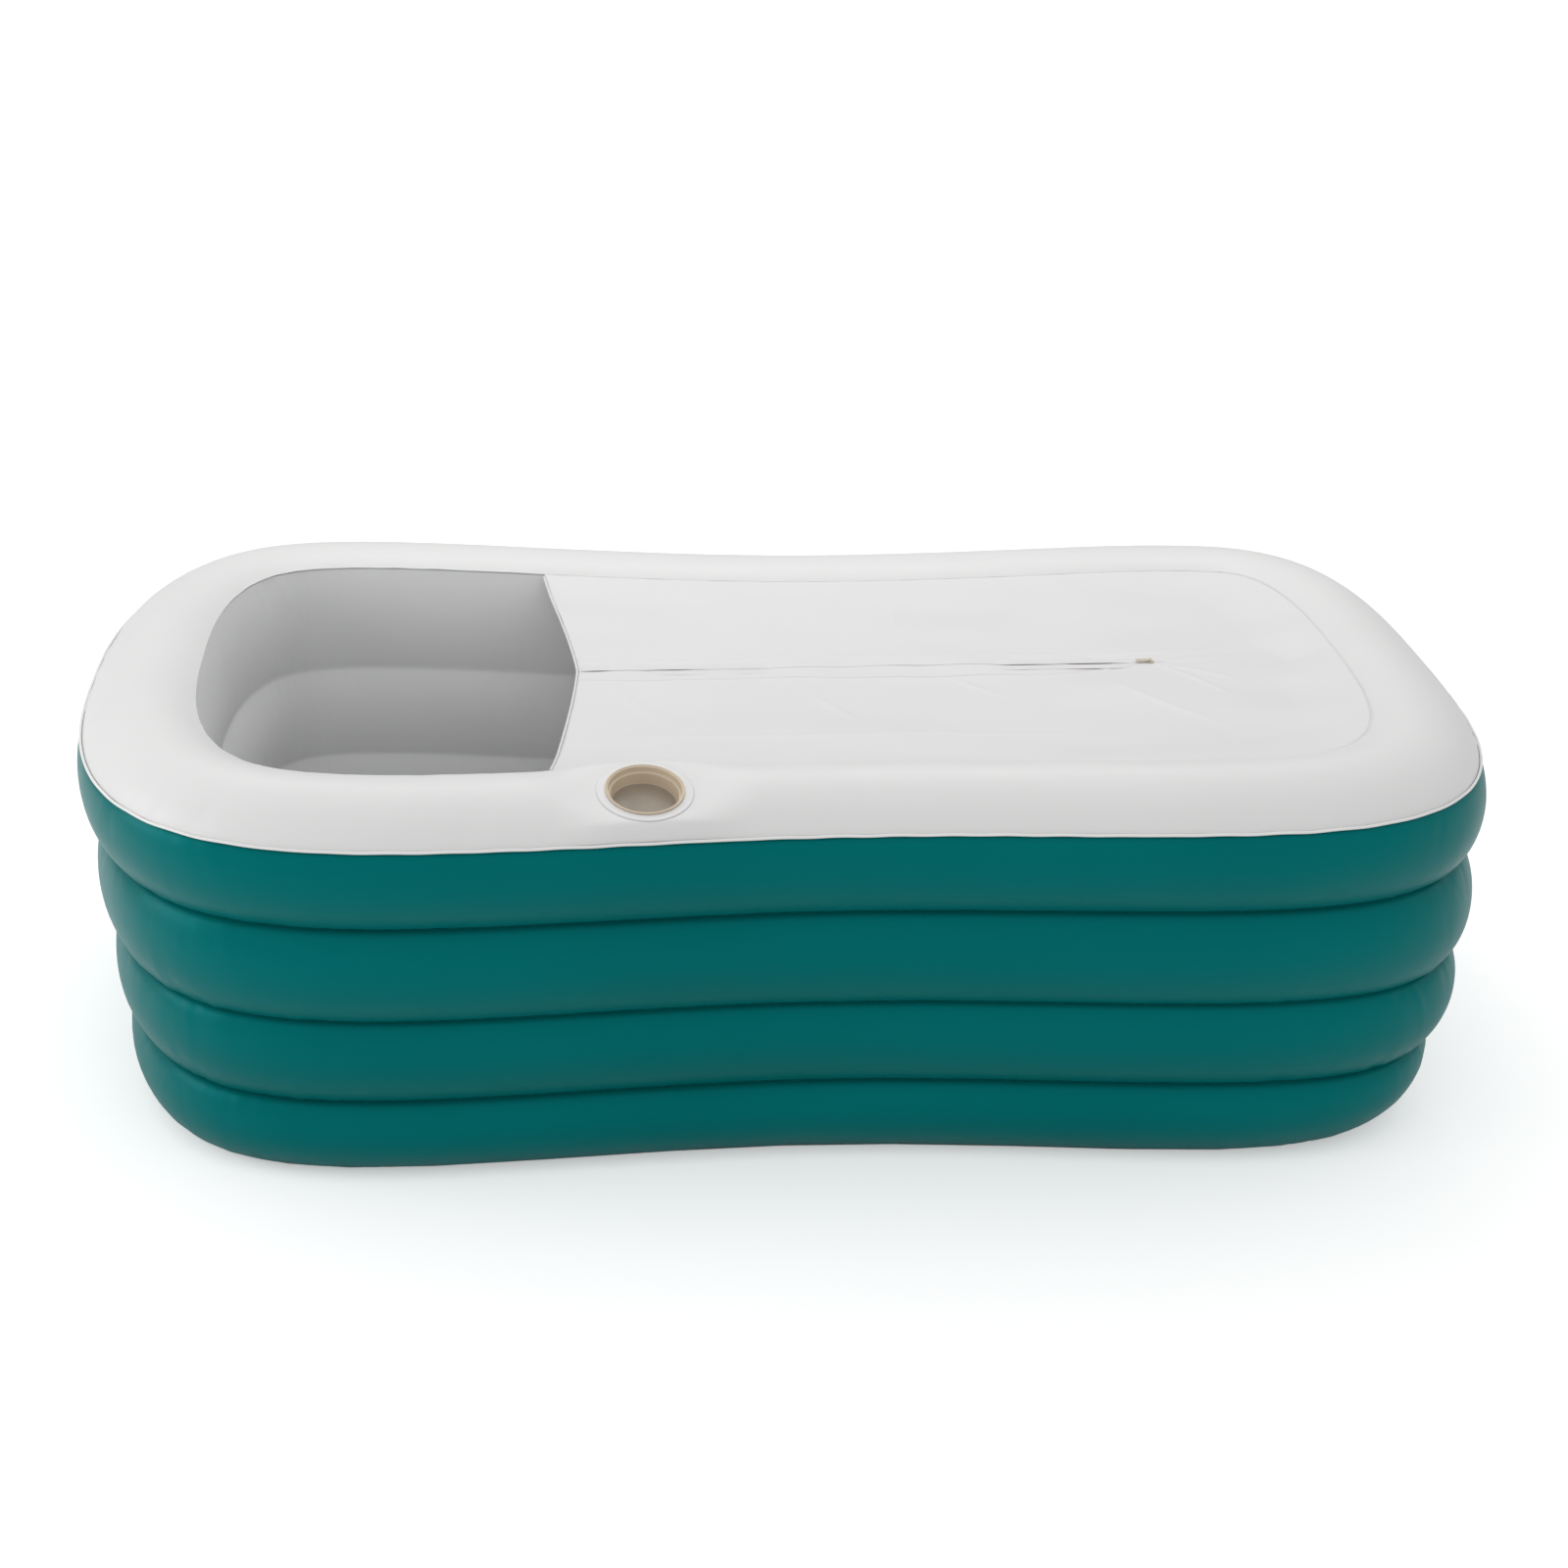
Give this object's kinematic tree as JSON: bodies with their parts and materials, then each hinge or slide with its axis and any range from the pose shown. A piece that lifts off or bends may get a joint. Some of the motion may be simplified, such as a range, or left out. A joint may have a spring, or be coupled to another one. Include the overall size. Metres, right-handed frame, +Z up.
{
  "type": "inflatable bathtub",
  "caption": "Long waisted inflatable bathtub of stacked air rings, with a zipped cover over the legs, an open head end, a cup holder, capped air valves and a drain plug.",
  "frame": {"origin": "on the ground, under the middle of the tub's length and width", "axes": "+X along the length towards the foot end with the zip's end stop, +Y towards the far side with the air valves, away from the cup holder, +Z up"},
  "size_m": [1.6136, 0.932, 0.5003],
  "materials": {
    "teal_vinyl": "smooth dark teal PVC film, semi-matte, drawn tight by air",
    "white_vinyl": "smooth white PVC film with a soft sheen",
    "cover_vinyl": "slack white PVC film with faint pulls and creases",
    "inner_vinyl": "smooth pale PVC film on the bath side",
    "web_vinyl": "plain PVC film between the air rings",
    "floor_vinyl": "pale PVC film of the air floor and base",
    "piping": "white PVC bead",
    "flange_vinyl": "white moulded PVC",
    "cup_plastic": "beige moulded plastic, satin",
    "zip_tape": "white woven tape",
    "zip_coil": "dark grey coil teeth",
    "zip_slider": "beige moulded plastic",
    "valve_plastic": "soft translucent white PVC",
    "valve_flap": "soft grey rubber disc"
  },
  "bodies": {
    "tub": {"base_sheet": "floor_vinyl", "floor_sheet": "floor_vinyl", "outer_wall_1": "teal_vinyl", "outer_wall_2": "teal_vinyl", "outer_wall_3": "teal_vinyl", "outer_wall_4": "teal_vinyl", "inner_wall": "inner_vinyl", "web_1": "web_vinyl", "web_2": "web_vinyl", "web_3": "web_vinyl", "top_skin": "white_vinyl", "seam_piping": "piping", "rim_piping": "piping", "cup_holder": "cup_plastic", "cup_flange": "flange_vinyl", "cover": "cover_vinyl", "hem_far": "cover_vinyl", "hem_near": "cover_vinyl", "zip_tape_far": "zip_tape", "zip_tape_near": "zip_tape", "zip_coil_far": "zip_coil", "zip_coil_near": "zip_coil", "zip_end_stop": "zip_coil", "ring_2_valve_base": "valve_plastic", "ring_2_valve_insert": "valve_plastic", "ring_2_valve_flap": "valve_flap", "ring_2_valve_strap": "valve_plastic", "ring_4_valve_base": "valve_plastic", "ring_4_valve_insert": "valve_plastic", "ring_4_valve_flap": "valve_flap", "ring_4_valve_strap": "valve_plastic", "floor_valve_base": "valve_plastic", "floor_valve_insert": "valve_plastic", "floor_valve_flap": "valve_flap", "floor_valve_strap": "valve_plastic", "drain_pipe": "valve_plastic", "drain_collar": "valve_plastic"},
    "slider": {"zip_slider": "zip_slider"},
    "pull_tab": {"zip_pull": "zip_slider"},
    "ring_2_cap": {"ring_2_valve_cap": "valve_plastic"},
    "ring_4_cap": {"ring_4_valve_cap": "valve_plastic"},
    "floor_cap": {"floor_valve_cap": "valve_plastic"},
    "plug": {"drain_plug": "valve_plastic"}
  },
  "joints": [
    {"name": "zip_slide", "type": "slide", "parent": "tub", "child": "slider", "axis": [-0.9996, 0, -0.0268], "range_m": [0, 0.67]},
    {"name": "pull_hinge", "type": "hinge", "parent": "slider", "child": "pull_tab", "pos_m": [0.45192, 0, 0.46502], "axis": [0, 1, 0], "range_deg": [0, 180]},
    {"name": "ring_2_cap_hinge", "type": "hinge", "parent": "tub", "child": "ring_2_cap", "pos_m": [0.08, 0.42116, 0.28863], "axis": [1, 0.0013, 0], "range_deg": [0, 135]},
    {"name": "ring_4_cap_hinge", "type": "hinge", "parent": "tub", "child": "ring_4_cap", "pos_m": [0.08003, 0.39654, 0.06768], "axis": [1, 0.0013, 0], "range_deg": [0, 135]},
    {"name": "floor_cap_hinge", "type": "hinge", "parent": "tub", "child": "floor_cap", "pos_m": [0.2777, 0, 0.0531], "axis": [0, 1, 0], "range_deg": [0, 135]},
    {"name": "plug_slide", "type": "slide", "parent": "tub", "child": "plug", "axis": [1, 0, 0], "range_m": [0, 0.03]}
  ]
}
